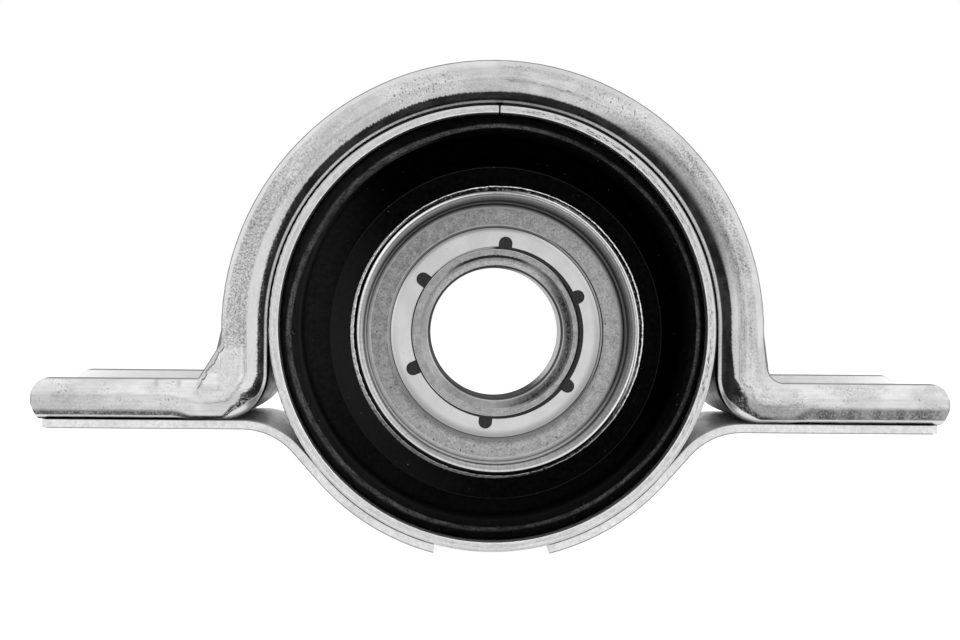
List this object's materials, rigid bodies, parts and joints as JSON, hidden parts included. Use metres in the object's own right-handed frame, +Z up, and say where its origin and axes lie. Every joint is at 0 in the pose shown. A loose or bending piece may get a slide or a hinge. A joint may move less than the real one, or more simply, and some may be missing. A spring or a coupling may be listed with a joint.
{
  "type": "driveshaft centre bearing",
  "caption": "Sealed ball bearing in a steel sleeve, carried by a rubber cushion in a split steel ring, clamped by a hat-section strap and lower brackets with bolted feet.",
  "frame": {"origin": "middle of the bearing's bore, on the shaft axis halfway between the bearing's faces", "axes": "+X along the feet to the right in front view, +Y along the shaft towards the rear, +Z up"},
  "size_m": [0.202, 0.04, 0.1084],
  "materials": {
    "strap_steel": "zinc-plated pressed sheet, dull, with pits, scuffs and rolling streaks",
    "ring_steel": "rolled strip with speckled edge",
    "sleeve_steel": "drawn steel, dark inside, rubbed bright at the rim",
    "race_steel": "ground bearing steel, mottled with fine tarnish",
    "seal_steel": "smooth satin sheet",
    "cage_steel": "pressed strip",
    "ball_steel": "polished",
    "seal_rubber": "matt",
    "cushion_rubber": "moulded, matt black with a faint sheen"
  },
  "bodies": {
    "bracket": {"bracket_strap": "strap_steel", "lower_bracket_left": "strap_steel", "lower_bracket_right": "strap_steel", "outer_ring": "ring_steel", "rubber_cushion": "cushion_rubber", "cushion_liner": "sleeve_steel", "bearing_sleeve": "sleeve_steel", "outer_race": "race_steel", "seal_plate_front": "seal_steel", "seal_plate_rear": "seal_steel", "seal_lip_front": "seal_rubber", "seal_lip_rear": "seal_rubber"},
    "inner": {"inner_race": "race_steel"},
    "cage": {"cage_front": "cage_steel", "cage_rear": "cage_steel", "cage_rivets": "cage_steel"},
    "ball_01": {"ball_01": "ball_steel"},
    "ball_02": {"ball_02": "ball_steel"},
    "ball_03": {"ball_03": "ball_steel"},
    "ball_04": {"ball_04": "ball_steel"},
    "ball_05": {"ball_05": "ball_steel"},
    "ball_06": {"ball_06": "ball_steel"},
    "ball_07": {"ball_07": "ball_steel"},
    "ball_08": {"ball_08": "ball_steel"},
    "ball_09": {"ball_09": "ball_steel"},
    "ball_10": {"ball_10": "ball_steel"}
  },
  "joints": [
    {"name": "inner_spin", "type": "hinge", "parent": "bracket", "child": "inner", "pos_m": [0, 0, 0], "axis": [0, 1, 0], "continuous": true},
    {"name": "cage_orbit", "type": "hinge", "parent": "bracket", "child": "cage", "pos_m": [0, 0, 0], "axis": [0, 1, 0], "continuous": true},
    {"name": "ball_01_roll", "type": "hinge", "parent": "cage", "child": "ball_01", "pos_m": [0.02047, 0, 0.00665], "axis": [0, 1, 0], "continuous": true},
    {"name": "ball_02_roll", "type": "hinge", "parent": "cage", "child": "ball_02", "pos_m": [0.01265, 0, 0.01741], "axis": [0, 1, 0], "continuous": true},
    {"name": "ball_03_roll", "type": "hinge", "parent": "cage", "child": "ball_03", "pos_m": [0, 0, 0.02152], "axis": [0, 1, 0], "continuous": true},
    {"name": "ball_04_roll", "type": "hinge", "parent": "cage", "child": "ball_04", "pos_m": [-0.01265, 0, 0.01741], "axis": [0, 1, 0], "continuous": true},
    {"name": "ball_05_roll", "type": "hinge", "parent": "cage", "child": "ball_05", "pos_m": [-0.02047, 0, 0.00665], "axis": [0, 1, 0], "continuous": true},
    {"name": "ball_06_roll", "type": "hinge", "parent": "cage", "child": "ball_06", "pos_m": [-0.02047, 0, -0.00665], "axis": [0, 1, 0], "continuous": true},
    {"name": "ball_07_roll", "type": "hinge", "parent": "cage", "child": "ball_07", "pos_m": [-0.01265, 0, -0.01741], "axis": [0, 1, 0], "continuous": true},
    {"name": "ball_08_roll", "type": "hinge", "parent": "cage", "child": "ball_08", "pos_m": [0, 0, -0.02152], "axis": [0, 1, 0], "continuous": true},
    {"name": "ball_09_roll", "type": "hinge", "parent": "cage", "child": "ball_09", "pos_m": [0.01265, 0, -0.01741], "axis": [0, 1, 0], "continuous": true},
    {"name": "ball_10_roll", "type": "hinge", "parent": "cage", "child": "ball_10", "pos_m": [0.02047, 0, -0.00665], "axis": [0, 1, 0], "continuous": true}
  ],
  "couplings": [
    {"joint": "cage_orbit", "follows": "inner_spin", "ratio": 0.4078},
    {"joint": "ball_01_roll", "follows": "inner_spin", "ratio": -2.6194},
    {"joint": "ball_02_roll", "follows": "inner_spin", "ratio": -2.6194},
    {"joint": "ball_03_roll", "follows": "inner_spin", "ratio": -2.6194},
    {"joint": "ball_04_roll", "follows": "inner_spin", "ratio": -2.6194},
    {"joint": "ball_05_roll", "follows": "inner_spin", "ratio": -2.6194},
    {"joint": "ball_06_roll", "follows": "inner_spin", "ratio": -2.6194},
    {"joint": "ball_07_roll", "follows": "inner_spin", "ratio": -2.6194},
    {"joint": "ball_08_roll", "follows": "inner_spin", "ratio": -2.6194},
    {"joint": "ball_09_roll", "follows": "inner_spin", "ratio": -2.6194},
    {"joint": "ball_10_roll", "follows": "inner_spin", "ratio": -2.6194}
  ]
}
